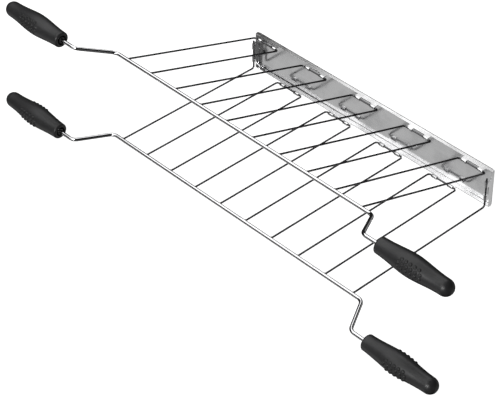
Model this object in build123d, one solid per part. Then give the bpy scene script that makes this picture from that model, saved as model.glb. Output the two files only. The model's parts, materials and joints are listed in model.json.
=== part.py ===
"""A hinged wire toast rack.

Two wire racks stand one above the other and meet at a folded sheet bracket. The lower rack is held
square in the bracket. The upper rack swings on the backs of its U-shaped wires, which lie in rolled
knuckles along the bracket's top flange. Each rack has a front rod with a cranked end on both sides,
and each rod end carries a moulded grip.

Every piece is first built square to the bracket, with X along the rack, Y towards the back, Z up and
the origin on the lower pins' axis at the middle of the rack. It is then settled on the table: the two
lower grips and the bracket's back fold touch Z = 0, and the origin is the bottom centre of the whole.
"""
import os
from math import asin, atan2, degrees, hypot

from build123d import *

# Racks
LEG_COUNT = 10  # wires that reach the front rod, in each rack
LEG_PITCH = 38.0  # from wire to wire
RACK_DEPTH = 194.5  # from the pins' axis to the front rod's axis
PIN_GAP = 42.0  # from the lower pins' axis to the upper pins' axis
OPEN_ANGLE = 17.8  # the upper rack at rest, up from parallel to the lower one
UPPER_END_INSET = 2.0  # the upper rack's outermost wires stand this far inside the pitch
LOWER_END_OUTSET = 0.6  # the lower rack's stand this far outside it, by the end flanges

# Wire and rod
WIRE_D = 2.0
WIRE_BEND = 3.0  # bend radius on the wire's centre line
ROD_D = 4.0
ROD_BEND = 9.0  # bend radius on the rod's centre line
CRANK_START = 14.2  # from the outermost regular wire to the crank's first corner
CRANK_OUT = 22.0  # how far the crank carries the rod outwards
CRANK_FORWARD = 39.0  # and forwards
CRANK_TO_GRIP = 20.8  # from the crank's second corner to the grip

# Grips
GRIP_LENGTH = 90.0
GRIP_INNER_D = 17.5  # at the end nearest the rack
GRIP_BELLY_D = 23.3
GRIP_OUTER_D = 17.4  # where the rounded tip begins
GRIP_BELLY_AT = 42.0  # from the inner end to the thickest place
GRIP_TIP = 9.0  # length of the rounded tip
GRIP_EDGE = 2.2  # rounding of the inner end
GRIP_BORE_DEPTH = 75.0
GRIP_BOSS_WALL = 1.5  # plastic round the rod where it enters
GRIP_RECESS_W = 1.9  # ring-shaped recess round the boss
GRIP_RECESS_DEPTH = 3.5

# Raised round bumps, in one patch along each grip's front and one along its back
BUMP_D = 3.4
BUMP_RISE = 0.9
BUMP_PITCH = 5.2  # along the grip
BUMP_ROW_STEP = 4.1  # from row to row, round the belly
BUMP_ROWS = (5, 6, 6, 5)  # bumps in each of a patch's rows; rows of different counts are staggered
BUMP_MIDDLE_AT = 45.4  # from the inner end to the middle of the patch

# Bracket
SHEET = 0.8
FOLD_BEND = 1.0  # inside radius of the folds
RUN_CLEARANCE = 0.05  # radial, between a wire and its knuckle
WEB_SETBACK = 8.5  # from the back of the pin wires to the web
PLAIN_EDGE = 4.6  # the flanges' front edge, behind the pins' axis
SLOT_EDGE = 1.9  # the slot's back edge, behind the pins' axis
TAB_LENGTH = 29.2  # knuckle, slot and knuckle
END_TAB_LENGTH = 23.8
KNUCKLE_LENGTH = 7.0
KNUCKLE_WRAP = 262.0  # degrees of sheet round the wire
END_WIRE_TOP_GAP = 5.6  # from the upright wire's end to the upper pins' axis
FLANGE_GAP = 0.4  # between an end flange and the top or bottom flange

WIRE_R = WIRE_D / 2
ROD_R = ROD_D / 2
KNUCKLE_MID_R = WIRE_R + RUN_CLEARANCE + SHEET / 2
WEB_MID_Y = WIRE_R + WEB_SETBACK + SHEET / 2
FOLD_MID_R = FOLD_BEND + SHEET / 2
OUTER_LEG_X = (LEG_COUNT - 1) / 2 * LEG_PITCH
END_WIRE_X = OUTER_LEG_X + LOWER_END_OUTSET
END_FLANGE_X = END_WIRE_X + KNUCKLE_MID_R
CRANK_X = OUTER_LEG_X + CRANK_START
GRIP_X = CRANK_X + CRANK_OUT + CRANK_TO_GRIP
GRIP_Y = -(RACK_DEPTH + CRANK_FORWARD)


def leg_x(number, end_shift):
    """Place of wire 0, 1, 2 ... along X, with the outermost two moved outwards by end_shift."""
    x = number * LEG_PITCH - OUTER_LEG_X
    if number == 0:
        return x - end_shift
    if number == LEG_COUNT - 1:
        return x + end_shift
    return x


def round_bar(path, diameter):
    """A round bar along a path of straight runs and tangent arcs."""
    start = Plane(origin=path @ 0, z_dir=path % 0)
    return sweep(start * Circle(diameter / 2), path=path)


def front_rod():
    """One rack's rod, with a crank and a grip seat at each end."""
    seat_x = GRIP_X + GRIP_BORE_DEPTH
    right = [(CRANK_X, -RACK_DEPTH), (CRANK_X + CRANK_OUT, GRIP_Y), (seat_x, GRIP_Y)]
    left = [(-x, y) for x, y in reversed(right)]
    return round_bar(FilletPolyline(*left, *right, radius=ROD_BEND), ROD_D)


def cope(wire):
    """Shape a wire's ends to the round of the rod that they are welded to."""
    straight = Plane.YZ.offset(-CRANK_X) * Pos(-RACK_DEPTH, 0) * Circle(ROD_R)
    return wire - extrude(straight, 2 * CRANK_X)


def u_wire(left_x, right_x):
    """Two wires of a rack and the hinge pin between them, bent from one length."""
    points = [(left_x, -RACK_DEPTH), (left_x, 0), (right_x, 0), (right_x, -RACK_DEPTH)]
    return cope(round_bar(FilletPolyline(*points, radius=WIRE_BEND), WIRE_D))


def end_wire(side):
    """An outermost wire of the lower rack, turned up into the end flange's knuckles."""
    x = side * END_WIRE_X
    points = [(x, -RACK_DEPTH, 0), (x, 0, 0), (x, 0, PIN_GAP - END_WIRE_TOP_GAP)]
    return cope(round_bar(FilletPolyline(*points, radius=WIRE_BEND), WIRE_D))


def grip_outline():
    """Half section of a grip, along X from the rack outwards, with the radius along Y."""
    inner_r = GRIP_INNER_D / 2
    outer_r = GRIP_OUTER_D / 2
    side_end = GRIP_LENGTH - GRIP_TIP
    side_points = [(0, inner_r), (GRIP_BELLY_AT, GRIP_BELLY_D / 2), (side_end, outer_r)]
    side = Spline(side_points, tangents=[(1, 0), (1, 0)])
    tip = EllipticalCenterArc((side_end, 0), GRIP_TIP, outer_r)
    face = make_face([side, tip, Line((GRIP_LENGTH, 0), (0, 0)), Line((0, 0), (0, inner_r))])
    corner = face.vertices().sort_by_distance((0, inner_r))[0]
    return fillet(corner, GRIP_EDGE)


def side_radius(x):
    """Radius of a grip's side at x from its inner end."""
    probe = Line((x, 0), (x, GRIP_BELLY_D))
    return (grip_outline() & probe).bounding_box().max.Y


def bumps(middle_angle):
    """The balls that stand out of a grip's side in one patch, middle_angle degrees round from +Y."""
    ball_r = (BUMP_D**2 / 4 + BUMP_RISE**2) / (2 * BUMP_RISE)
    step_angle = degrees(BUMP_ROW_STEP / (GRIP_BELLY_D / 2))
    balls = []
    for row, count in enumerate(BUMP_ROWS):
        angle = middle_angle + (row - (len(BUMP_ROWS) - 1) / 2) * step_angle
        for number in range(count):
            x = BUMP_MIDDLE_AT + (number - (count - 1) / 2) * BUMP_PITCH
            place = Rot(angle, 0, 0) * Pos(x, side_radius(x) + BUMP_RISE - ball_r, 0)
            balls.append(place * Sphere(ball_r))
    return balls


def grip():
    """A moulded grip with its bumps, the rod's bore and the recess round its boss, inner end at X = 0."""
    body = revolve(grip_outline(), Axis.X) + bumps(0) + bumps(180)
    boss_r = ROD_R + GRIP_BOSS_WALL
    recess = Circle(boss_r + GRIP_RECESS_W) - Circle(boss_r)
    bore = extrude(Plane.YZ * Circle(ROD_R), GRIP_BORE_DEPTH)
    return body - extrude(Plane.YZ * recess, GRIP_RECESS_DEPTH) - bore


def grip_on(side):
    """The grip at the rod's right (side 1) or left (side -1) end."""
    solid = grip()
    if side < 0:
        solid = mirror(solid, Plane.YZ)
    return Pos(side * GRIP_X, GRIP_Y, 0) * solid


def knuckle_profile():
    """The sheet's way from a flange's edge round a wire at the origin, as a strip in the XY plane.

    The flange comes from +X above the wire, and the roll turns towards -X and under.
    """
    lead = Line((PLAIN_EDGE, KNUCKLE_MID_R), (0, KNUCKLE_MID_R))
    roll = CenterArc((0, 0), KNUCKLE_MID_R, 90, KNUCKLE_WRAP)
    return trace(lead + roll, SHEET)


def rolled_tab(length):
    """A hinge tab along Z: two knuckles on a wire at the origin, with a slot between them."""
    tab = Pos(0, 0, -length / 2) * extrude(knuckle_profile(), KNUCKLE_LENGTH)
    tab += Pos(0, 0, length / 2 - KNUCKLE_LENGTH) * extrude(knuckle_profile(), KNUCKLE_LENGTH)
    root_depth = PLAIN_EDGE - SLOT_EDGE
    root = Box(root_depth, SHEET, length)
    return tab + Pos(SLOT_EDGE + root_depth / 2, KNUCKLE_MID_R, 0) * root


def channel(half_length, flange_back):
    """The web and the two long flanges, folded from one strip, with the flanges' square ends."""
    top_z = PIN_GAP + KNUCKLE_MID_R
    bottom_z = -KNUCKLE_MID_R
    points = [(PLAIN_EDGE, top_z), (WEB_MID_Y, top_z), (WEB_MID_Y, bottom_z), (PLAIN_EDGE, bottom_z)]
    strip = trace(FilletPolyline(*points, radius=FOLD_MID_R), SHEET)
    body = extrude(Plane.YZ.offset(-half_length) * strip, 2 * half_length)
    flange = Box(2 * END_FLANGE_X + SHEET, flange_back - PLAIN_EDGE, SHEET)
    flange = Pos(0, (flange_back + PLAIN_EDGE) / 2, 0) * flange
    return body + Pos(0, 0, top_z) * flange + Pos(0, 0, bottom_z) * flange


def end_flange(half_length):
    """The right-hand end flange: a fold from the web, and a rolled tab round the upright wire."""
    low = -KNUCKLE_MID_R + SHEET / 2 + FLANGE_GAP
    high = PIN_GAP + KNUCKLE_MID_R - SHEET / 2 - FLANGE_GAP
    path = FilletPolyline(
        (half_length, WEB_MID_Y),
        (END_FLANGE_X, WEB_MID_Y),
        (END_FLANGE_X, PLAIN_EDGE),
        radius=FOLD_MID_R,
    )
    sheet = Pos(0, 0, low) * extrude(trace(path, SHEET), high - low)
    tab = Rot(0, 0, 90) * mirror(rolled_tab(END_TAB_LENGTH), Plane.XZ)
    return sheet + Pos(END_WIRE_X, 0, PIN_GAP / 2) * tab


def hinge_bracket():
    """The folded sheet bracket with its rolled tabs."""
    half_length = END_FLANGE_X - FOLD_MID_R - SHEET
    bracket = channel(half_length, WEB_MID_Y - FOLD_MID_R)
    right_end = end_flange(half_length)
    bracket = bracket + right_end + mirror(right_end, Plane.YZ)
    tab = Rot(0, 0, 90) * Rot(90, 0, 0) * rolled_tab(TAB_LENGTH)
    for first in range(0, LEG_COUNT, 2):
        bracket += Pos(u_centre(first, -UPPER_END_INSET), 0, PIN_GAP) * tab
    for first in range(1, LEG_COUNT - 1, 2):
        bracket += Pos(u_centre(first, LOWER_END_OUTSET), 0, 0) * mirror(tab, Plane.XY)
    return bracket


def u_centre(first, end_shift):
    """Middle of the U-wire whose left leg is number first."""
    return (leg_x(first, end_shift) + leg_x(first + 1, end_shift)) / 2


def lower_rack():
    """The pieces that stay with the bracket."""
    parts = {"hinge_bracket": hinge_bracket(), "lower_rod": front_rod()}
    for number, first in enumerate(range(1, LEG_COUNT - 1, 2), start=1):
        ends = [leg_x(first, LOWER_END_OUTSET), leg_x(first + 1, LOWER_END_OUTSET)]
        parts[f"lower_u_wire_{number}"] = u_wire(*ends)
    parts["lower_end_wire_left"] = end_wire(-1)
    parts["lower_end_wire_right"] = end_wire(1)
    parts["lower_left_grip"] = grip_on(-1)
    parts["lower_right_grip"] = grip_on(1)
    return parts


def upper_rack():
    """The pieces that swing, laid open by the rest angle about the upper pins."""
    parts = {"upper_rod": front_rod()}
    for number, first in enumerate(range(0, LEG_COUNT, 2), start=1):
        ends = [leg_x(first, -UPPER_END_INSET), leg_x(first + 1, -UPPER_END_INSET)]
        parts[f"upper_u_wire_{number}"] = u_wire(*ends)
    parts["upper_left_grip"] = grip_on(-1)
    parts["upper_right_grip"] = grip_on(1)
    swing = Pos(0, 0, PIN_GAP) * Rot(-OPEN_ANGLE, 0, 0)
    return {name: swing * solid for name, solid in parts.items()}


def rest_tilt():
    """Turn about X, in degrees, that brings the lower grips and the bracket's back fold level."""
    fold_r = FOLD_BEND + SHEET
    fold_y = WEB_MID_Y - FOLD_MID_R
    fold_z = -KNUCKLE_MID_R + FOLD_MID_R
    rise_y = fold_y - GRIP_Y
    span = hypot(rise_y, fold_z)
    return degrees(asin((fold_r - GRIP_BELLY_D / 2) / span) - atan2(fold_z, rise_y))


def settle(parts):
    """Stand the parts on the table, with the origin at the bottom centre of the whole."""
    turned = {name: Rot(rest_tilt(), 0, 0) * solid for name, solid in parts.items()}
    box = Compound(list(turned.values())).bounding_box()
    middle = box.center()
    shift = Pos(-middle.X, -middle.Y, -box.min.Z)
    return {name: shift * solid for name, solid in turned.items()}, shift


def main():
    """Build every piece and write one STEP file for each."""
    os.makedirs("parts", exist_ok=True)
    parts, shift = settle({**lower_rack(), **upper_rack()})
    for name, solid in parts.items():
        export_step(solid, f"parts/{name}.step")
    hinge = (shift * Rot(rest_tilt(), 0, 0) * Pos(0, 0, PIN_GAP)).position
    print(f"{len(parts)} pieces, tilt {rest_tilt():.3f} degrees, hinge axis at {hinge}")


main()
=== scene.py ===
"""The looks of a hinged wire toast rack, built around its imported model.

Every size is in metres. A rack's own directions are X along its rod, forward from the hinge to the grips,
and up out of its plane. Rods and wires are swept, weld beads are scattered and grip bumps are raised by
Geometry Nodes trees that this file builds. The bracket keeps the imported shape, with its edges eased.
"""

import json
import logging
import math
from dataclasses import dataclass
from enum import Enum
from typing import Any, Sequence

import bmesh
import bpy
import numpy as np
from bpy.types import ID, Material, Mesh, Node, NodeSocket, NodeTree, Object
from mathutils import Euler, Matrix, Vector
from mathutils.bvhtree import BVHTree


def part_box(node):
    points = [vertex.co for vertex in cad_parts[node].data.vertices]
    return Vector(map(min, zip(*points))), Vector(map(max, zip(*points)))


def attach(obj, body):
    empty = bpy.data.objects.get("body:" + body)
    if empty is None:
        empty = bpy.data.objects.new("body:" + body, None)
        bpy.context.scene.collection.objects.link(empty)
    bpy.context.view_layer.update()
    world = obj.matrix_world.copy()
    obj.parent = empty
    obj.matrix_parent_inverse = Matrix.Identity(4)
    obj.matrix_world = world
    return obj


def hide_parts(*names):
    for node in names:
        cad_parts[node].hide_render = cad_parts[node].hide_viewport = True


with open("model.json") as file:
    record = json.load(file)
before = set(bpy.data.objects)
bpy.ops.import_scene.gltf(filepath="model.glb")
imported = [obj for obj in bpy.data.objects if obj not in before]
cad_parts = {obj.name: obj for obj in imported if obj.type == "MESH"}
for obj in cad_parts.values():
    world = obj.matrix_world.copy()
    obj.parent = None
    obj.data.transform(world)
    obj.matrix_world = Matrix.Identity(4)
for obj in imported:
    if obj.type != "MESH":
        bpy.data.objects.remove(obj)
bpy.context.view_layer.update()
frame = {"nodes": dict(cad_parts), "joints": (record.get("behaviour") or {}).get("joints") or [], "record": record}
LOG = logging.getLogger("toast_rack")
X_AXIS = Vector((1, 0, 0))
NOISE_MIDDLE = 0.5


class Body(Enum):
    """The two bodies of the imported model."""

    LOWER = "lower_rack"
    UPPER = "upper_rack"

    @property
    def prefix(self) -> str:
        """What this rack's node names begin with."""
        return self.value.split("_")[0]


class Slot(Enum):
    """The record's material slots."""

    SHEET = "sheet"
    ROD = "rod"
    WIRE = "wire"
    GRIP = "grip"


class Side(Enum):
    """The two ends of a rack, with the sign of X there."""

    LEFT = -1
    RIGHT = 1

    @property
    def word(self) -> str:
        """The side's name in node names."""
        return self.name.lower()


# Node trees


class Field:
    """A number that varies over a surface: an output socket whose operators add Math nodes."""

    def __init__(self, tree: NodeTree, socket: NodeSocket) -> None:
        """Wrap socket, an output in tree."""
        self.tree = tree
        self.socket = socket

    def math(self, operation: str, *values: "Field | float") -> "Field":
        """Add one Math node.

        Args:
            operation: the node's operation.
            values: the values or fields that it takes, in order.

        Returns:
            The result as a field.
        """
        node = self.tree.nodes.new("ShaderNodeMath")
        node.operation = operation
        for socket, value in zip(node.inputs, values):
            if isinstance(value, Field):
                self.tree.links.new(value.socket, socket)
            else:
                socket.default_value = value
        return Field(self.tree, node.outputs[0])

    def __add__(self, other: "Field | float") -> "Field":
        """self + other."""
        return self.math("ADD", self, other)

    def __radd__(self, other: float) -> "Field":
        """other + self."""
        return self.math("ADD", other, self)

    def __sub__(self, other: "Field | float") -> "Field":
        """self - other."""
        return self.math("SUBTRACT", self, other)

    def __rsub__(self, other: float) -> "Field":
        """other - self."""
        return self.math("SUBTRACT", other, self)

    def __mul__(self, other: "Field | float") -> "Field":
        """self * other."""
        return self.math("MULTIPLY", self, other)

    def __truediv__(self, other: "Field | float") -> "Field":
        """self / other."""
        return self.math("DIVIDE", self, other)

    def __pow__(self, other: "Field | float") -> "Field":
        """self to the power of other."""
        return self.math("POWER", self, other)

    def __abs__(self) -> "Field":
        """The size of self without its sign."""
        return self.math("ABSOLUTE", self)

    def floor(self) -> "Field":
        """The whole number at or below self."""
        return self.math("FLOOR", self)

    def clamped(self) -> "Field":
        """self, kept from 0 to 1."""
        return self.at_least(0.0).at_most(1.0)

    def at_least(self, low: "Field | float") -> "Field":
        """self, or low where self is below it."""
        return self.math("MAXIMUM", self, low)

    def at_most(self, high: "Field | float") -> "Field":
        """self, or high where self is above it."""
        return self.math("MINIMUM", self, high)


class Bench:
    """Adds nodes to one tree."""

    def __init__(self, tree: NodeTree) -> None:
        """Work on tree."""
        self.tree = tree

    def node(
        self,
        kind: str,
        settings: dict[str, Any] | None = None,
        values: dict[str | int, Any] | None = None,
    ) -> Node:
        """Add a node.

        Args:
            kind: the node's type name.
            settings: its properties, set first.
            values: a value, field, socket or node for inputs by name or number.

        Returns:
            The node.
        """
        node = self.tree.nodes.new(kind)
        for name, value in (settings or {}).items():
            setattr(node, name, value)
        for key, value in (values or {}).items():
            if isinstance(value, Field):
                value = value.socket
            if isinstance(value, Node):
                value = value.outputs[0]
            if isinstance(value, NodeSocket):
                self.tree.links.new(value, node.inputs[key])
            else:
                node.inputs[key].default_value = value
        return node

    def field(self, node: Node, output: str | int = 0) -> Field:
        """One of node's outputs as a field."""
        return Field(self.tree, node.outputs[output])


class MeshTree:
    """A Geometry Nodes tree with named inputs, which turns an object's mesh into a finished piece's mesh.

    Attributes:
        title: the tree's name.
        sizes: its inputs' names and types, without the geometry and the material.
        smooth_angle: edges that turn less than this are shaded smooth.
    """

    title = "mesh_tree"
    sizes: tuple[tuple[str, str], ...] = ()
    smooth_angle = math.radians(40)

    def __init__(self) -> None:
        """Make the tree's interface and its nodes."""
        self.tree = bpy.data.node_groups.new(self.title, "GeometryNodeTree")
        self.bench = Bench(self.tree)
        face = self.tree.interface
        face.new_socket(name="Geometry", in_out="INPUT", socket_type="NodeSocketGeometry")
        self.keys = {}
        for name, kind in (*self.sizes, ("Material", "NodeSocketMaterial")):
            self.keys[name] = face.new_socket(name=name, in_out="INPUT", socket_type=kind).identifier
        face.new_socket(name="Geometry", in_out="OUTPUT", socket_type="NodeSocketGeometry")
        self.given = self.bench.node("NodeGroupInput")
        self._finish(self.shape())

    def shape(self) -> Node:
        """Add the nodes that make the shape, and give the last of them."""
        raise NotImplementedError

    def size(self, name: str) -> Field:
        """A named input as a field."""
        return Field(self.tree, self.given.outputs[name])

    def _finish(self, last: Node) -> None:
        """End the tree with the shading, Realize Instances and Set Material.

        Args:
            last: the last node of the shape.
        """
        bench = self.bench
        angle = bench.node("GeometryNodeInputMeshEdgeAngle")
        smooth = bench.node(
            "FunctionNodeCompare", {"operation": "LESS_THAN"}, {0: angle, 1: self.smooth_angle}
        )
        faces = bench.node("GeometryNodeSetShadeSmooth", {"domain": "FACE"}, {"Geometry": last})
        edges = bench.node(
            "GeometryNodeSetShadeSmooth", {"domain": "EDGE"}, {"Geometry": faces, "Shade Smooth": smooth}
        )
        real = bench.node("GeometryNodeRealizeInstances", values={"Geometry": edges})
        dressed = bench.node(
            "GeometryNodeSetMaterial", values={"Geometry": real, "Material": self.size("Material")}
        )
        bench.node("NodeGroupOutput", values={0: dressed})

    def make(
        self, name: str, start: Mesh, material: Material, **sizes: float
    ) -> Object:
        """Run the tree once.

        Args:
            name: the piece's name.
            start: the mesh that the tree begins with.
            material: the piece's finish.
            sizes: the named inputs, with _ for each space.

        Returns:
            The piece, a plain mesh with no modifier on it.
        """
        obj = shown(name, start)
        modifier = obj.modifiers.new(self.title, "NODES")
        modifier.node_group = self.tree
        modifier[self.keys["Material"]] = material
        for key, value in sizes.items():
            modifier[self.keys[key.replace("_", " ")]] = value
        ready = obj.evaluated_get(bpy.context.evaluated_depsgraph_get())
        mesh = bpy.data.meshes.new_from_object(ready)
        obj.modifiers.remove(modifier)
        obj.data = mesh
        mesh.name = name
        bpy.data.meshes.remove(start)
        return obj


class BarTree(MeshTree):
    """Sweeps a round bar along a polyline, with an arc of the bend radius at each corner."""

    title = "bar_along_path"
    sizes = (
        ("Diameter", "NodeSocketFloat"),
        ("Bend Radius", "NodeSocketFloat"),
        ("Bend Steps", "NodeSocketInt"),
        ("Sides", "NodeSocketInt"),
    )

    def shape(self) -> Node:
        """Add the sweep.

        Returns:
            Its last node.
        """
        bench = self.bench
        path = bench.node("GeometryNodeMeshToCurve", values={"Mesh": self.given})
        bent = bench.node(
            "GeometryNodeFilletCurve",
            {"mode": "POLY"},
            {"Curve": path, "Count": self.size("Bend Steps"), "Radius": self.size("Bend Radius")},
        )
        ring = bench.node(
            "GeometryNodeCurvePrimitiveCircle",
            values={"Resolution": self.size("Sides"), "Radius": self.size("Diameter") / 2},
        )
        return bench.node(
            "GeometryNodeCurveToMesh", values={"Curve": bent, "Profile Curve": ring, "Fill Caps": True}
        )


class BeadTree(MeshTree):
    """Puts an uneven weld bead on each point."""

    title = "weld_beads"
    sizes = (
        ("Bead Size", "NodeSocketVector"),
        ("Rack Angle", "NodeSocketFloat"),
        ("Unevenness", "NodeSocketFloat"),
        ("Seed", "NodeSocketInt"),
    )
    detail = 4
    least = (0.86, 0.86, 0.86)
    most = (1.12, 1.12, 1.12)
    ripple_scale = 900.0

    def shape(self) -> Node:
        """Add the beads.

        Returns:
            The last node.
        """
        bench = self.bench
        ball = bench.node("GeometryNodeMeshIcoSphere", values={"Radius": 1.0, "Subdivisions": self.detail})
        turn = bench.node("ShaderNodeCombineXYZ", values={"X": self.size("Rack Angle")})
        vary = bench.node(
            "FunctionNodeRandomValue",
            {"data_type": "FLOAT_VECTOR"},
            {"Min": self.least, "Max": self.most, "Seed": self.size("Seed")},
        )
        scale = bench.node(
            "ShaderNodeVectorMath", {"operation": "MULTIPLY"}, {0: vary, 1: self.size("Bead Size")}
        )
        spread = bench.node(
            "GeometryNodeInstanceOnPoints",
            values={"Points": self.given, "Instance": ball, "Rotation": turn, "Scale": scale},
        )
        real = bench.node("GeometryNodeRealizeInstances", values={"Geometry": spread})
        noise = bench.node("ShaderNodeTexNoise", values={"Scale": self.ripple_scale, "Detail": 1.0})
        lift = (bench.field(noise) - NOISE_MIDDLE) * self.size("Unevenness")
        normal = bench.node("GeometryNodeInputNormal")
        offset = bench.node("ShaderNodeVectorMath", {"operation": "SCALE"}, {0: normal, "Scale": lift})
        return bench.node("GeometryNodeSetPosition", values={"Geometry": real, "Offset": offset})


class BumpTree(MeshTree):
    """Raises round bumps in staggered rows on a grip, and marks the ring round the foot of each for painted shade.

    The grip's points bear two attributes: "along", their distance from its inner end, and "turn", their
    angle round its axis. The marks go into an attribute named "foot".

    Attributes:
        roundness: the power of the bumps' profile; 0.5 makes them round.
        foot_place: where a mark is strongest, in bump radii.
        foot_fall: how fast it fades on both sides of there.
    """

    title = "raised_bumps"
    sizes = (
        ("Bump Radius", "NodeSocketFloat"),
        ("Bump Rise", "NodeSocketFloat"),
        ("Pitch", "NodeSocketFloat"),
        ("Row Angle", "NodeSocketFloat"),
        ("Round Radius", "NodeSocketFloat"),
        ("Middle Along", "NodeSocketFloat"),
        ("Middle Row Count", "NodeSocketInt"),
    )
    roundness = 0.5
    foot_place = 1.06
    foot_fall = 3.4

    def attribute(self, name: str) -> Field:
        """A named attribute of the points."""
        return self.bench.field(self.bench.node("GeometryNodeInputNamedAttribute", values={"Name": name}))

    def shape(self) -> Node:
        """Add the bumps.

        Each side's patch has two middle rows in step with each other, and an outer row of one bump fewer
        beyond each, half a pitch out of step.

        Returns:
            The last node.
        """
        bench = self.bench
        quarter = math.pi / 2
        from_middle = quarter - abs(abs(self.attribute("turn")) - quarter)
        outer = (from_middle / self.size("Row Angle")).floor().at_most(1.0)
        round_off = (from_middle - (outer + 0.5) * self.size("Row Angle")) * self.size("Round Radius")
        steps = (self.attribute("along") - self.size("Middle Along")) / self.size("Pitch")
        half_count = self.size("Middle Row Count") / 2
        nearest = (steps + outer * 0.5).floor().at_least(outer - half_count).at_most(half_count - 1)
        along_off = (steps - nearest - 0.5 + outer * 0.5) * self.size("Pitch")
        radius = self.size("Bump Radius")
        share = (along_off * along_off + round_off * round_off) / (radius * radius)
        rise = (1 - share).at_least(0.0) ** self.roundness * self.size("Bump Rise")
        # The ring round each bump's foot, which the plastic darkens as painted shade.
        foot = (1 - abs(share**0.5 - self.foot_place) * self.foot_fall).at_least(0.0)
        marked = bench.node(
            "GeometryNodeStoreNamedAttribute",
            {"data_type": "FLOAT", "domain": "POINT"},
            {"Geometry": self.given, "Name": "foot", "Value": foot},
        )
        normal = bench.node("GeometryNodeInputNormal")
        offset = bench.node("ShaderNodeVectorMath", {"operation": "SCALE"}, {0: normal, "Scale": rise})
        return bench.node("GeometryNodeSetPosition", values={"Geometry": marked, "Offset": offset})


# Finishes


class Surface:
    """A material that is being made: its shader, and the fields that vary over it."""

    def __init__(self, name: str, colour: Sequence[float], roughness: float, metallic: float) -> None:
        """Start the material.

        Args:
            name: the material's name.
            colour: its base colour.
            roughness: its roughness.
            metallic: 1 for metal and 0 for anything else.
        """
        self.material = bpy.data.materials.new(name)
        self.material.use_nodes = True
        self.material.node_tree.nodes.clear()
        self.bench = Bench(self.material.node_tree)
        self.colour = (*colour, 1.0)
        self.shader = self.bench.node(
            "ShaderNodeBsdfPrincipled",
            values={"Base Color": self.colour, "Roughness": roughness, "Metallic": metallic},
        )
        self.bench.node("ShaderNodeOutputMaterial", values={"Surface": self.shader})
        self.place = self.bench.node("ShaderNodeTexCoord").outputs["Object"]

    def noise(self, scale: float, detail: float, stretch: Sequence[float] = ()) -> Field:
        """Noise from 0 to 1 over the surface.

        Args:
            scale: how fine it is: its grain is about 1 / scale metres.
            detail: how many finer layers it has.
            stretch: further scales along X, Y and Z, if they differ.

        Returns:
            The noise as a field.
        """
        place = self.place
        if stretch:
            place = self.bench.node("ShaderNodeMapping", values={"Vector": place, "Scale": stretch})
        values = {"Vector": place, "Scale": scale, "Detail": detail}
        return self.bench.field(self.bench.node("ShaderNodeTexNoise", values=values))

    def mark(self, name: str) -> Field:
        """A named attribute of the mesh."""
        return self.bench.field(self.bench.node("ShaderNodeAttribute", {"attribute_name": name}), "Fac")

    def feed(self, name: str, source: NodeSocket) -> None:
        """Link source to one of the shader's inputs."""
        self.bench.tree.links.new(source, self.shader.inputs[name])

    def tint(self, *layers: tuple[Field, Sequence[float]]) -> None:
        """Mix the base colour towards other colours in turn.

        Args:
            layers: each a share, kept from 0 to 1, and the colour that it mixes in.
        """
        colour = self.colour
        for share, other in layers:
            mix = self.bench.node(
                "ShaderNodeMix",
                {"data_type": "RGBA", "clamp_factor": True},
                {0: share, 6: colour, 7: (*other, 1.0)},
            )
            colour = mix.outputs[2]
        self.feed("Base Color", colour)

    def roughen(self, roughness: Field) -> None:
        """Vary the roughness."""
        self.feed("Roughness", roughness.socket)

    def emboss(self, height: Field, depth: float, strength: float) -> None:
        """Bump the shading.

        Args:
            height: the height, from 0 to 1.
            depth: how high 1 stands, in metres.
            strength: how much of the bump shows, from 0 to 1.
        """
        values = {"Height": height, "Distance": depth, "Strength": strength}
        self.feed("Normal", self.bench.node("ShaderNodeBump", values=values).outputs[0])


@dataclass(frozen=True)
class Finish:
    """A surface finish; dress() adds what varies over it."""

    name: str
    colour: tuple[float, float, float]
    roughness: float
    metallic: float = 1.0

    def material(self) -> Material:
        """Build the finish.

        Returns:
            The material.
        """
        surface = Surface(self.name, self.colour, self.roughness, self.metallic)
        self.dress(surface)
        return surface.material

    def dress(self, surface: Surface) -> None:
        """Add what varies over surface."""
        raise NotImplementedError


@dataclass(frozen=True)
class Plating(Finish):
    """Bright plate on rod, and on wire the same plate painted dark as shade, with slightly duller patches and fine
    pits.
    """

    dull: tuple[float, float, float] = (0.5, 0.5, 0.52)
    patch_scale: float = 60.0
    patch_detail: float = 3.0
    patch_start: float = 0.42
    patch_gain: float = 2.2
    rough_start: float = 0.4
    patch_roughness: float = 0.22
    pit_scale: float = 2600.0
    pit_detail: float = 1.0
    pit_roughness: float = 0.03
    pit_depth: float = 0.00001
    pit_strength: float = 0.25

    def dress(self, surface: Surface) -> None:
        """Add the patches and the pits.

        Args:
            surface: the material.
        """
        patches = surface.noise(self.patch_scale, self.patch_detail)
        pits = surface.noise(self.pit_scale, self.pit_detail)
        surface.tint(((patches - self.patch_start) * self.patch_gain, self.dull))
        worn = (patches - self.rough_start).at_least(0.0) * self.patch_roughness
        surface.roughen(self.roughness + worn + pits * self.pit_roughness)
        surface.emboss(pits, self.pit_depth, self.pit_strength)


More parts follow.
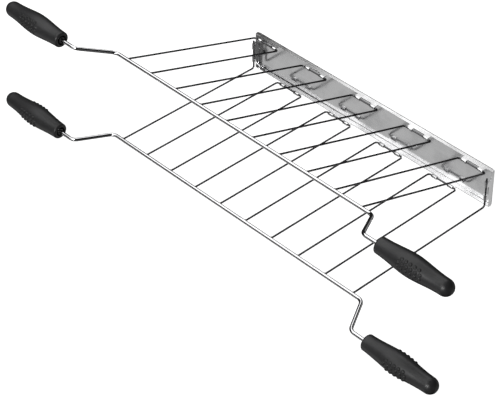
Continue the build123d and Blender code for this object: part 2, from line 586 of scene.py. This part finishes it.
@dataclass(frozen=True)
class PolishedSheet(Finish):
    """Polished stainless sheet with fine rolling lines along the bracket and faint handling smudges."""

    smudged: tuple[float, float, float] = (0.66, 0.66, 0.67)
    smudge_scale: float = 38.0
    smudge_detail: float = 4.0
    smudge_start: float = 0.45
    smudge_gain: float = 1.6
    smudge_roughness: float = 0.35
    line_stretch: tuple[float, float, float] = (14.0, 1500.0, 1500.0)
    line_detail: float = 3.0
    line_gain: float = 0.5
    line_roughness: float = 0.08
    line_depth: float = 0.000003
    line_strength: float = 0.35

    def dress(self, surface: Surface) -> None:
        """Add the rolling lines and the smudges.

        Args:
            surface: the material.
        """
        lines = surface.noise(1.0, self.line_detail, self.line_stretch)
        smudges = surface.noise(self.smudge_scale, self.smudge_detail)
        smudge = smudges - self.smudge_start
        surface.tint((smudge * self.smudge_gain + (lines - NOISE_MIDDLE) * self.line_gain, self.smudged))
        matt = smudge.at_least(0.0) * self.smudge_roughness
        surface.roughen(self.roughness + matt + lines * self.line_roughness)
        surface.emboss(lines, self.line_depth, self.line_strength)


@dataclass(frozen=True)
class MouldedPlastic(Finish):
    """Satin black plastic with a fine grain, paler where hands rub it, with painted shade round the bumps' feet.
    """

    # Painted shade: the near-black colour and the extra roughness in the ring round each bump's foot.
    crevice: tuple[float, float, float] = (0.003, 0.003, 0.003)
    crevice_roughness: float = 0.45
    rubbed: tuple[float, float, float] = (0.048, 0.048, 0.05)
    rub_scale: float = 45.0
    rub_detail: float = 3.0
    rub_start: float = 0.4
    rub_gain: float = 1.5
    rub_polish: float = 0.12
    grain_scale: float = 2400.0
    grain_detail: float = 2.0
    grain_gain: float = 0.4
    grain_roughness: float = 0.16
    grain_depth: float = 0.00006
    grain_strength: float = 0.5

    def dress(self, surface: Surface) -> None:
        """Add the grain, the rubbed patches and the painted shade in rings round the bumps.

        Args:
            surface: the material.
        """
        grain = surface.noise(self.grain_scale, self.grain_detail)
        patches = surface.noise(self.rub_scale, self.rub_detail)
        foot = surface.mark("foot")
        uneven = grain - NOISE_MIDDLE
        rub = (patches - self.rub_start) * self.rub_gain + uneven * self.grain_gain
        # The ring round each bump's foot is painted shade: near black, and rougher so its highlight goes.
        surface.tint((rub, self.rubbed), (foot, self.crevice))
        gloss = uneven * self.grain_roughness - (patches - NOISE_MIDDLE) * self.rub_polish
        surface.roughen(self.roughness + gloss + foot * self.crevice_roughness)
        surface.emboss(grain, self.grain_depth, self.grain_strength)


@dataclass(frozen=True)
class WeldMetal(Finish):
    """Plated-over weld metal, dark and rippled, with a straw tint."""

    straw: tuple[float, float, float] = (0.32, 0.28, 0.23)
    straw_scale: float = 420.0
    straw_start: float = 0.45
    straw_gain: float = 2.0
    ripple_scale: float = 1600.0
    ripple_roughness: float = 0.3
    ripple_depth: float = 0.00015
    ripple_strength: float = 0.6
    detail: float = 2.0

    def dress(self, surface: Surface) -> None:
        """Add the tint and the ripples.

        Args:
            surface: the material.
        """
        ripples = surface.noise(self.ripple_scale, self.detail)
        tinted = surface.noise(self.straw_scale, self.detail)
        surface.tint(((tinted - self.straw_start) * self.straw_gain, self.straw))
        surface.roughen(self.roughness + (ripples - NOISE_MIDDLE) * self.ripple_roughness)
        surface.emboss(ripples, self.ripple_depth, self.ripple_strength)


@dataclass(frozen=True)
class StagePaper(Finish):
    """Pale seamless paper that is lit from behind as well."""

    glow: float = 0.95
    mottle_scale: float = 3.0
    mottle_detail: float = 2.0
    mottle_gain: float = 0.3
    mottle_shade: float = 0.97

    def dress(self, surface: Surface) -> None:
        """Add a faint mottle and the light from behind.

        Args:
            surface: the material.
        """
        mottle = surface.noise(self.mottle_scale, self.mottle_detail)
        surface.tint((mottle * self.mottle_gain, [self.mottle_shade * part for part in self.colour]))
        surface.shader.inputs["Emission Color"].default_value = (1.0, 1.0, 1.0, 1.0)
        surface.shader.inputs["Emission Strength"].default_value = self.glow


@dataclass(frozen=True)
class Finishes:
    """The materials of the whole rack."""

    rod: Material
    wire: Material
    sheet: Material
    plastic: Material
    weld: Material

    @classmethod
    def build(cls) -> "Finishes":
        """Make every material once.

        Returns:
            The materials.
        """
        return cls(
            rod=Plating("rod_plate", (0.88, 0.88, 0.89), 0.07, dull=(0.72, 0.72, 0.74)).material(),
            # The wires' plate is the rods' plate painted dark: painted shade in place of the dark reflections on
            # them.
            wire=Plating("wire_plate", (0.17, 0.17, 0.175), 0.14, dull=(0.11, 0.11, 0.115)).material(),
            sheet=PolishedSheet("polished_sheet", (0.9, 0.9, 0.905), 0.11).material(),
            plastic=MouldedPlastic("moulded_plastic", (0.032, 0.032, 0.033), 0.38, metallic=0.0).material(),
            weld=WeldMetal("weld_metal", (0.16, 0.15, 0.14), 0.42).material(),
        )


# The object


@dataclass
class Rack:
    """One rack: where its plane lies, and the pieces in it.

    Attributes:
        body: the body that it is.
        pins: the middle of its pins' axis.
        forward: unit direction from the hinge to its grips.
        finishes: the materials.
        depth: from the pins' axis to the straight part of the rod.
        crank_x: where the rod's first bend is, along X.
        crank_out: how far the crank runs outwards, and crank_forward how far forwards.
        upright_height: how far an end wire turns up.
        wire_sink: how far a wire runs into the rod.
        sides: faces round a bar.
        bead_size: half a weld bead's size along X, forward and up.
    """

    body: Body
    pins: Vector
    forward: Vector
    finishes: Finishes
    depth: float = 0.1945
    wire_d: float = 0.002
    wire_bend: float = 0.003
    wire_sink: float = 0.0005
    rod_d: float = 0.004
    rod_bend: float = 0.009
    crank_x: float = 0.1852
    crank_out: float = 0.022
    crank_forward: float = 0.039
    upright_height: float = 0.0364
    sides: int = 28
    bend_steps: int = 12
    bead_size: tuple[float, float, float] = (0.00155, 0.0009, 0.00135)
    bead_unevenness: float = 0.0006
    bead_seed: int = 7

    @property
    def up(self) -> Vector:
        """Unit direction out of the rack's plane, upwards."""
        return self.forward.cross(X_AXIS)

    @property
    def angle(self) -> float:
        """How far the rack's forward direction stands above level, in radians."""
        return math.atan2(self.forward.z, -self.forward.y)

    def at(self, x: float, forward: float, up: float = 0.0) -> Vector:
        """The point at x along the rack, so far forward of the pins' axis and so far above its plane."""
        return Vector((x, self.pins.y, self.pins.z)) + self.forward * forward + self.up * up

    def node(self, name: str) -> str:
        """The full name of one of this rack's nodes."""
        return f"{self.body.prefix}_{name}"

    def nodes(self, part: str) -> list[str]:
        """This rack's nodes whose names hold part."""
        return sorted(name for name in frame["nodes"] if name.startswith(self.node("")) and part in name)

    def bar(self, tree: BarTree, node: str, path: Sequence[Vector], slot: Slot) -> Object:
        """Sweep a rod or a wire along path in place of a node.

        Args:
            tree: the sweep.
            node: the node that the bar stands for.
            path: the bar's corners.
            slot: rod or wire.

        Returns:
            The bar.
        """
        mesh = bpy.data.meshes.new(node)
        mesh.from_pydata(path, [(i, i + 1) for i in range(len(path) - 1)], [])
        is_rod = slot is Slot.ROD
        piece = tree.make(
            f"{node}_bar",
            mesh,
            self.finishes.rod if is_rod else self.finishes.wire,
            Diameter=self.rod_d if is_rod else self.wire_d,
            Bend_Radius=self.rod_bend if is_rod else self.wire_bend,
            Bend_Steps=self.bend_steps,
            Sides=self.sides,
        )
        return place(piece, self.body, slot, node)

    def rod(self, tree: BarTree) -> Object:
        """Make the front rod with its two cranks, ending inside the grips.

        Args:
            tree: the sweep.

        Returns:
            The rod.
        """
        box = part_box(self.node("rod"))
        seat = self.depth + self.crank_forward
        right = [
            self.at(self.crank_x, self.depth),
            self.at(self.crank_x + self.crank_out, seat),
            self.at(box[1].x, seat),
        ]
        left = [Vector((-corner.x, corner.y, corner.z)) for corner in reversed(right)]
        return self.bar(tree, self.node("rod"), left + right, Slot.ROD)

    def legs(self, node: str) -> tuple[float, float]:
        """The places of a U-wire's two legs along X."""
        low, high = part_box(node)
        return low.x + self.wire_d / 2, high.x - self.wire_d / 2

    def wires(self, tree: BarTree) -> tuple[list[Object], list[float]]:
        """Sweep every wire of the rack, from the pins' axis to just inside the rod.

        Args:
            tree: the sweep.

        Returns:
            The wires, and where they meet the rod, along X.
        """
        pieces, joins = [], []
        end = self.depth - self.rod_d / 2 + self.wire_sink
        for node in self.nodes("u_wire"):
            left, right = self.legs(node)
            path = [self.at(left, end), self.at(left, 0), self.at(right, 0), self.at(right, end)]
            pieces.append(self.bar(tree, node, path, Slot.WIRE))
            joins += [left, right]
        for node in self.nodes("end_wire"):
            low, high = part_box(node)
            x = (low.x + high.x) / 2
            path = [self.at(x, end), self.at(x, 0), self.at(x, 0, self.upright_height)]
            pieces.append(self.bar(tree, node, path, Slot.WIRE))
            joins.append(x)
        return pieces, joins

    def welds(self, tree: BeadTree, joins: Sequence[float]) -> Object:
        """Put a bead where each wire meets the rod.

        Args:
            tree: the beads' tree.
            joins: where the wires meet the rod, along X.

        Returns:
            All the rack's beads as one piece.
        """
        mesh = bpy.data.meshes.new("joins")
        mesh.from_pydata([self.at(x, self.depth - self.rod_d / 2) for x in joins], [], [])
        piece = tree.make(
            self.node("welds"),
            mesh,
            self.finishes.weld,
            Bead_Size=self.bead_size,
            Rack_Angle=-self.angle,
            Unevenness=self.bead_unevenness,
            Seed=self.bead_seed,
        )
        return place(piece, self.body, Slot.WIRE)

    def build(self, bars: BarTree, beads: BeadTree) -> list[Object]:
        """Make the rod, the wires and the weld beads.

        Args:
            bars: the sweep.
            beads: the beads' tree.

        Returns:
            The pieces.
        """
        rod = self.rod(bars)
        wires, joins = self.wires(bars)
        return [rod, *wires, self.welds(beads, joins)]


@dataclass
class Grip:
    """A moulded grip: a turned body with a recess round the rod's boss, and bumps front and back.

    Attributes:
        rack: the rack that it is on.
        side: the end of the rod that it is on.
        edge: the rounding of its inner end. Its side's curve begins edge_run times as far along, and
            the rounding is drawn edge_fit times as large, to end before that.
        tip_length: how far the rounded tip runs along it.
        small_edge: the rounding of the boss and the recess.
        segments: points round it.
        row_step: from one row of bumps to the next, round it.
        patch_middle: from its inner end to the middle of the bumps.
        patch_half: half the length with points close enough together for bumps.
        middle_count: bumps in a middle row.
        side_degree: the degree of the curve through its measured radii, and tip_degree that of the tip.
    """

    rack: Rack
    side: Side
    edge: float = 0.0022
    tip_length: float = 0.009
    bore_depth: float = 0.012
    bore_r: float = 0.00202
    boss_r: float = 0.0035
    recess_w: float = 0.0019
    recess_depth: float = 0.0035
    edge_run: float = 1.2
    edge_fit: float = 0.98
    small_edge: float = 0.0003
    segments: int = 216
    bump_r: float = 0.0016
    bump_rise: float = 0.0009
    pitch: float = 0.0052
    row_step: float = 0.0041
    patch_middle: float = 0.0454
    patch_half: float = 0.0155
    fine_step: float = 0.0003
    coarse_step: float = 0.0016
    middle_count: int = 6
    side_stations: int = 40
    side_degree: int = 9
    tip_stations: int = 19
    tip_degree: int = 4
    tip_steps: int = 26
    probe: float = 0.05

    def __post_init__(self) -> None:
        """Find the grip's axis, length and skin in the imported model."""
        self.node = self.rack.node(f"{self.side.word}_grip")
        low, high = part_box(self.node)
        self.length = high.x - low.x
        self.start_x = low.x if self.side is Side.RIGHT else high.x
        self.axis_point = (low + high) / 2
        mesh = frame["nodes"][self.node].data
        corners = [vertex.co.copy() for vertex in mesh.vertices]
        self.skin = BVHTree.FromPolygons(corners, [tuple(face.vertices) for face in mesh.polygons])

    def spot(self, along: float, out: Vector) -> Vector:
        """The point at along from the inner end, moved from the axis by out."""
        x = self.start_x + self.side.value * along
        return Vector((x, self.axis_point.y, self.axis_point.z)) + out

    def reach(self, along: float, direction: Vector) -> float:
        """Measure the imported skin.

        Args:
            along: the place on the axis, from the inner end.
            direction: the unit direction to measure in.

        Returns:
            How far the skin is from the axis there.
        """
        start = self.spot(along, direction * self.probe)
        return self.probe - self.skin.ray_cast(start, -direction)[3]

    def side_profile(self) -> list[tuple[float, float]]:
        """Follow the grip's side between its inner edge and its tip.

        Returns:
            Places along and radii, close together where the bumps are.
        """
        side_start = self.edge_run * self.edge
        tip_start = self.length - self.tip_length
        stations = np.linspace(side_start, tip_start, self.side_stations)
        radii = [self.reach(station, self.rack.up) for station in stations]
        curve = np.polynomial.Polynomial.fit(stations, radii, self.side_degree)
        fine_from = self.patch_middle - self.patch_half
        fine_to = self.patch_middle + self.patch_half
        places = []
        along = side_start
        while along < tip_start - self.coarse_step / 2:
            places.append(along)
            fine = fine_from <= along < fine_to
            along += self.fine_step if fine else self.coarse_step
        return [(along, float(curve(along))) for along in places]

    def tip_profile(self) -> list[tuple[float, float]]:
        """Follow the rounded tip.

        Returns:
            Places along and radii, ending on the axis.
        """
        centre = self.length - self.tip_length
        outward = X_AXIS * self.side.value
        angles = np.linspace(0, math.pi / 2, self.tip_stations)
        reaches = []
        for angle in angles:
            direction = self.rack.up * math.cos(angle) + outward * math.sin(angle)
            reaches.append(self.reach(centre, direction))
        curve = np.polynomial.Polynomial.fit(np.cos(angles) ** 2, reaches, self.tip_degree)
        profile = []
        for step in range(self.tip_steps + 1):
            angle = step / self.tip_steps * math.pi / 2
            reach = float(curve(math.cos(angle) ** 2))
            profile.append((centre + reach * math.sin(angle), reach * math.cos(angle)))
        profile[-1] = (profile[-1][0], 0.0)
        return profile

    def inner_profile(self, side: Sequence[tuple[float, float]]) -> list[tuple[float, float]]:
        """Draw the bore, boss, recess and inner end.

        Args:
            side: the side's profile, which this one meets.

        Returns:
            Places along and radii, from the axis out to the start of the side.
        """
        recess_r = self.boss_r + self.recess_w
        slope = (side[1][1] - side[0][1]) / (side[1][0] - side[0][0])
        corners = [
            ((self.bore_depth, self.bore_r), 0.0),
            ((0.0, self.bore_r), self.small_edge / 2),
            ((0.0, self.boss_r), self.small_edge),
            ((self.recess_depth, self.boss_r), self.small_edge),
            ((self.recess_depth, recess_r), self.small_edge),
            ((0.0, recess_r), self.small_edge),
            ((0.0, side[0][1] - slope * side[0][0]), self.edge * self.edge_fit),
            (side[0], 0.0),
        ]
        return [(self.bore_depth, 0.0), *eased(corners)][:-1]

    def profile(self) -> list[tuple[float, float]]:
        """The whole half section, from the bore's bottom to the tip."""
        side = self.side_profile()
        return self.inner_profile(side) + side + self.tip_profile()

    def turned(self) -> Mesh:
        """Turn the profile round the axis.

        Returns:
            The body without bumps, with each point's place along and round it as attributes.
        """
        shell = bmesh.new()
        along_layer = shell.verts.layers.float.new("along")
        turn_layer = shell.verts.layers.float.new("turn")
        rings = []
        for along, radius in self.profile():
            ring = []
            for number in range(self.segments if radius else 1):
                turn = (number / self.segments * 2 - 1) * math.pi
                out = -self.rack.forward * math.cos(turn) + self.rack.up * math.sin(turn)
                vert = shell.verts.new(self.spot(along, out * radius))
                vert[along_layer] = along
                vert[turn_layer] = turn
                ring.append(vert)
            rings.append(ring)
        skin_rings(shell, rings, self.segments)
        bmesh.ops.recalc_face_normals(shell, faces=shell.faces)
        mesh = bpy.data.meshes.new("turned_grip")
        shell.to_mesh(mesh)
        shell.free()
        return mesh

    def build(self, tree: BumpTree) -> Object:
        """Make the grip in place of its node.

        Args:
            tree: the bumps' tree.

        Returns:
            The grip.
        """
        belly = self.reach(self.patch_middle, self.rack.up)
        piece = tree.make(
            f"{self.node}_moulding",
            self.turned(),
            self.rack.finishes.plastic,
            Bump_Radius=self.bump_r,
            Bump_Rise=self.bump_rise,
            Pitch=self.pitch,
            Row_Angle=self.row_step / belly,
            Round_Radius=belly,
            Middle_Along=self.patch_middle,
            Middle_Row_Count=self.middle_count,
        )
        for name in ("along", "turn"):
            piece.data.attributes.remove(piece.data.attributes[name])
        return place(piece, self.rack.body, Slot.GRIP, self.node)


@dataclass
class Bracket:
    """The folded sheet bracket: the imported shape, joined up, with its cut edges eased.

    Attributes:
        finishes: the materials.
        back: unit direction out of the bracket's back.
        node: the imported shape.
        weld_gap: points closer than this are joined.
        flat_angle: faces that turn less than this are merged.
        cut_angle: edges that turn more than this are eased, by edge_round.
        smooth_angle: edges that turn less than this are shaded smooth.
        level_share: how squarely a face must lie to count as a flat of the sheet, which is shaded flat.
    """

    finishes: Finishes
    back: Vector
    node: str = "hinge_bracket"
    weld_gap: float = 0.000002
    flat_angle: float = math.radians(0.6)
    cut_angle: float = math.radians(60)
    smooth_angle: float = math.radians(38)
    edge_round: float = 0.00012
    level_share: float = 0.99999

    def build(self) -> Object:
        """Make the bracket in place of its node.

        Returns:
            The bracket.
        """
        shell = bmesh.new()
        shell.from_mesh(frame["nodes"][self.node].data)
        bmesh.ops.remove_doubles(shell, verts=shell.verts, dist=self.weld_gap)
        bmesh.ops.dissolve_limit(
            shell, angle_limit=self.flat_angle, verts=shell.verts, edges=shell.edges, delimit=set()
        )
        cuts = [edge for edge in shell.edges if edge.is_manifold and edge.calc_face_angle() > self.cut_angle]
        bmesh.ops.bevel(
            shell,
            geom=cuts,
            offset=self.edge_round,
            segments=2,
            profile=0.5,
            affect="EDGES",
            clamp_overlap=True,
        )
        level_ways = (X_AXIS, self.back, X_AXIS.cross(self.back))
        for face in shell.faces:
            face.smooth = max(abs(face.normal.dot(way)) for way in level_ways) < self.level_share
        for edge in shell.edges:
            edge.smooth = edge.is_manifold and edge.calc_face_angle() < self.smooth_angle
        mesh = bpy.data.meshes.new("bracket_sheet")
        shell.to_mesh(mesh)
        shell.free()
        mesh.materials.append(self.finishes.sheet)
        return place(shown("bracket_sheet", mesh), Body.LOWER, Slot.SHEET, self.node)


def shown(name: str, data: ID | None) -> Object:
    """Add an object to the scene.

    Args:
        name: its name.
        data: its mesh, light or camera.

    Returns:
        The object.
    """
    obj = bpy.data.objects.new(name, data)
    bpy.context.scene.collection.objects.link(obj)
    return obj


def skin_rings(
    shell: bmesh.types.BMesh, rings: Sequence[Sequence[bmesh.types.BMVert]], segments: int
) -> None:
    """Join each ring of points to the next with faces.

    Args:
        shell: the mesh that the points are in.
        rings: the rings, each with segments points, or with one where the surface closes on its axis.
        segments: points round a full ring.
    """
    for ring, after in zip(rings, rings[1:]):
        for number in range(segments):
            follow = (number + 1) % segments
            corners = [ring[number % len(ring)], after[number % len(after)]]
            corners += [after[follow % len(after)], ring[follow % len(ring)]]
            shell.faces.new(list(dict.fromkeys(corners)))


def towards(azimuth: float, elevation: float) -> Vector:
    """Find a direction.

    Args:
        azimuth: degrees round from the front, to the right.
        elevation: degrees up.

    Returns:
        The unit direction from the object.
    """
    turn, rise = math.radians(azimuth), math.radians(elevation)
    return Vector((math.sin(turn) * math.cos(rise), -math.cos(turn) * math.cos(rise), math.sin(rise)))


def eased(corners: Sequence[tuple[tuple[float, float], float]], steps: int = 5) -> list[tuple[float, float]]:
    """Round the corners of an open outline.

    Args:
        corners: each corner's place and its radius, 0 to keep it.
        steps: points in each rounding, less one.

    Returns:
        The outline's points.
    """
    points = []
    for number, (corner, radius) in enumerate(corners):
        here = Vector(corner)
        if not radius:
            points.append(tuple(here))
            continue
        back = (Vector(corners[number - 1][0]) - here).normalized()
        ahead = (Vector(corners[number + 1][0]) - here).normalized()
        half = back.angle(ahead) / 2
        centre = here + (back + ahead).normalized() * radius / math.sin(half)
        start = here + back * radius / math.tan(half) - centre
        end = here + ahead * radius / math.tan(half) - centre
        for step in range(steps + 1):
            spoke = start.lerp(end, step / steps).normalized() * radius
            points.append(tuple(centre + spoke))
    return points


def place(piece: Object, body: Body, slot: Slot, node: str | None = None) -> Object:
    """Tie a finished piece to its body, and hide the node that it stands for.

    Args:
        piece: the piece, with its place in its mesh.
        body: the body that it rides on.
        slot: not used.
        node: the node that it stands for, if any.

    Returns:
        The piece.
    """
    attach(piece, body.value)
    if node:
        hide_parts(node)
    return piece


def racks(finishes: Finishes) -> tuple[Rack, Rack]:
    """Find both racks' planes from the hinge and the grips.

    Args:
        finishes: the materials.

    Returns:
        The lower rack and the upper rack.
    """
    hinge = Vector(frame["joints"][0]["pos_m"])
    back = Vector(next(m["axis"] for m in frame["record"]["mounts"] if m["name"] == "bracket_back"))

    def grip_middle(body: Body) -> Vector:
        """The middle of a rack's grips in its end view."""
        low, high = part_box(f"{body.prefix}_right_grip")
        return Vector((0, (low.y + high.y) / 2, (low.z + high.z) / 2))

    upper_reach = grip_middle(Body.UPPER) - hinge
    lower_pins = grip_middle(Body.LOWER) + back * upper_reach.length
    return (
        Rack(Body.LOWER, lower_pins, -back, finishes),
        Rack(Body.UPPER, hinge, upper_reach.normalized(), finishes),
    )


# The studio


@dataclass(frozen=True)
class Softbox:
    """A large soft light that faces the object.

    Attributes:
        azimuth: degrees round from the front, to the right.
        elevation: degrees up.
        distance: from the object.
        power: in watts.
    """

    name: str
    azimuth: float
    elevation: float
    distance: float
    width: float
    height: float
    power: float

    def build(self) -> None:
        """Hang the light."""
        lamp = bpy.data.lights.new(self.name, "AREA")
        lamp.shape = "RECTANGLE"
        lamp.size = self.width
        lamp.size_y = self.height
        lamp.energy = self.power
        holder = shown(self.name, lamp)
        away = towards(self.azimuth, self.elevation)
        holder.matrix_world = away.to_track_quat("Z", "Y").to_matrix().to_4x4()
        holder.location = away * self.distance


@dataclass(frozen=True)
class Card:
    """A soft-edged pale card low in the room.

    Attributes:
        towards: the unit direction in which it hangs.
        glow: how bright it is.
        edge: the cosine of its radius, seen from the object.
        softness: how fast its edge fades.
    """

    towards: tuple[float, float, float]
    glow: float
    edge: float = 0.9
    softness: float = 14.0

    def light(self, right: Field, back: Field, up: Field) -> Field:
        """How bright the card is in the direction (right, back, up)."""
        x, y, z = self.towards
        return ((right * x + back * y + up * z - self.edge) * self.softness).clamped() * self.glow


@dataclass(frozen=True)
class Fade:
    """A straight change from 0 to 1 with some part of a direction."""

    slope: float
    start: float

    def of(self, part: Field) -> Field:
        """The change at part."""
        return (part * self.slope + self.start).clamped()


@dataclass(frozen=True)
class Studio:
    """Floor and backdrop in one sweep of pale paper, soft lights and a dim room beyond.

    Attributes:
        floor_r: the flat floor's radius.
        sweep_r: the radius of the sweep up into the wall, made in sweep_steps.
        segments: points round the paper.
        room_glow: the room's darkest glow.
        wall_glow: the walls' glow.
        eye_line: the height, as a share of the direction, where the walls are brightest.
    """

    floor_r: float = 5.0
    sweep_r: float = 2.0
    sweep_steps: int = 16
    wall_top: float = 9.0
    segments: int = 96
    paper: Finish = StagePaper("stage_paper", (0.5, 0.5, 0.5), 0.9, metallic=0.0)
    room_glow: float = 0.012
    wall_glow: float = 0.32
    eye_line: float = -0.12
    wall_height: Fade = Fade(-4.0, 1.4)
    rear_depth: Fade = Fade(3.0, -0.3)
    rear_width: Fade = Fade(3.0, 1.2)
    front_depth: Fade = Fade(-4.0, -2.4)
    front_width: Fade = Fade(-3.0, 1.6)
    right_depth: Fade = Fade(10.0, -9.0)
    cards: tuple[Card, ...] = (
        Card((-0.566, -0.508, -0.649), 0.46),
        Card((0.566, 0.508, -0.649), 0.48),
        Card((0.566, -0.508, -0.649), 0.13),
    )
    softboxes: tuple[Softbox, ...] = (
        Softbox("long_softbox", -90.0, 63.0, 2.2, 4.2, 1.48, 28.0),
        Softbox("front_softbox", 6.0, 27.0, 2.3, 1.5, 1.1, 10.0),
        Softbox("front_lamp", 12.0, 25.0, 2.2, 0.45, 0.45, 13.0),
    )

    def backdrop(self) -> None:
        """Lay the floor and sweep it up into the wall all round."""
        outline = [(0.0, 0.0), (self.floor_r / 2, 0.0)]
        for step in range(self.sweep_steps + 1):
            turn = step / self.sweep_steps * math.pi / 2
            radius = self.floor_r + self.sweep_r * math.sin(turn)
            outline.append((radius, self.sweep_r * (1 - math.cos(turn))))
        outline.append((self.floor_r + self.sweep_r, self.wall_top))
        outline.append((0.0, self.wall_top))
        shell = bmesh.new()
        rings = []
        for radius, height in outline:
            count = self.segments if radius else 1
            turns = [number / self.segments * math.tau for number in range(count)]
            spots = [(radius * math.cos(turn), radius * math.sin(turn), height) for turn in turns]
            rings.append([shell.verts.new(spot) for spot in spots])
        skin_rings(shell, rings[::-1], self.segments)
        mesh = bpy.data.meshes.new("paper")
        shell.to_mesh(mesh)
        shell.free()
        mesh.shade_smooth()
        mesh.materials.append(self.paper.material())
        sheet = shown("paper", mesh)
        sheet.visible_glossy = False
        sheet.visible_diffuse = False

    def room(self) -> None:
        """Make the dim room that bright metal mirrors: dark overhead, with pale walls and low cards."""
        world = bpy.data.worlds.new("room")
        bpy.context.scene.world = world
        world.use_nodes = True
        world.node_tree.nodes.clear()
        bench = Bench(world.node_tree)
        direction = bench.node("ShaderNodeTexCoord").outputs["Generated"]
        split = bench.node("ShaderNodeSeparateXYZ", values={"Vector": direction})
        right, back, up = (bench.field(split, axis) for axis in "XYZ")
        rear_wall = self.rear_depth.of(back) * self.rear_width.of(right)
        front_wall = self.front_depth.of(back) * self.front_width.of(abs(right))
        walls = (rear_wall + front_wall + self.right_depth.of(right)).at_most(1.0)
        strength = self.room_glow + self.wall_height.of(abs(up - self.eye_line)) * walls * self.wall_glow
        for card in self.cards:
            strength = strength + card.light(right, back, up)
        white = (1.0, 1.0, 1.0, 1.0)
        light = bench.node("ShaderNodeBackground", values={"Color": white, "Strength": strength})
        bench.node("ShaderNodeOutputWorld", values={"Surface": light})

    def build(self) -> None:
        """Set up the floor, the room and the lights."""
        bpy.context.scene.view_settings.view_transform = "Standard"
        self.backdrop()
        self.room()
        for softbox in self.softboxes:
            softbox.build()


@dataclass(frozen=True)
class Viewpoint:
    """The camera: which way it looks from, in degrees, how far off, and at which point."""

    azimuth: float = 48.08
    elevation: float = 40.47
    roll: float = -2.375
    distance: float = 1.9131
    target: tuple[float, float, float] = (0.0317, -0.0798, 0.045)
    lens: float = 137.75

    def build(self) -> None:
        """Make the camera and choose it for the scene."""
        back = towards(self.azimuth, self.elevation)
        turn = math.radians(self.azimuth)
        level = Vector((math.cos(turn), math.sin(turn), 0))
        upright = Matrix((level, back.cross(level), back)).transposed()
        camera = shown("camera", bpy.data.cameras.new("camera"))
        camera.data.lens = self.lens
        rolled = upright @ Euler((0, 0, math.radians(self.roll))).to_matrix()
        camera.matrix_world = Matrix.Translation(Vector(self.target) + back * self.distance) @ rolled.to_4x4()
        bpy.context.scene.camera = camera


def main() -> None:
    """Build every piece, then the studio and the camera."""
    logging.basicConfig(level=logging.INFO, format="%(name)s: %(message)s")
    finishes = Finishes.build()
    bars, beads, bumps = BarTree(), BeadTree(), BumpTree()
    lower, upper = racks(finishes)
    pieces = [Bracket(finishes, -lower.forward).build()]
    for rack in (lower, upper):
        pieces += rack.build(bars, beads)
        pieces += [Grip(rack, side).build(bumps) for side in Side]
    for piece in pieces:
        LOG.info("%s: %d faces", piece.name, len(piece.data.polygons))
    Studio().build()
    Viewpoint().build()


if __name__ == "__main__":
    main()
